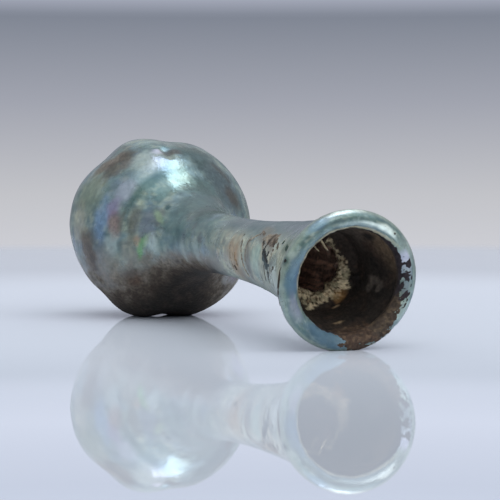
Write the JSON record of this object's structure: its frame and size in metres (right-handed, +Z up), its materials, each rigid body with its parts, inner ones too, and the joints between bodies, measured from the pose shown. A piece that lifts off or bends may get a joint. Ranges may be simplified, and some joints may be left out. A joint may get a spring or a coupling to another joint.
{
  "type": "glass unguentarium",
  "caption": "Small hollow blown-glass bottle for scented oil, lying on its side: globe body, long slender neck, flared mouth with rolled lip, weathered iridescent skin.",
  "frame": {"origin": "middle of the bottle's outline seen from above, on the surface that it lies on", "axes": "+X along the bottle from its foot to its mouth, +Z up"},
  "size_m": [0.1156, 0.0402, 0.0391],
  "materials": {
    "weathered_glass": "weathered, iridescent, mostly opaque"
  },
  "bodies": {
    "root": {"glass_vessel": "weathered_glass"}
  },
  "joints": []
}
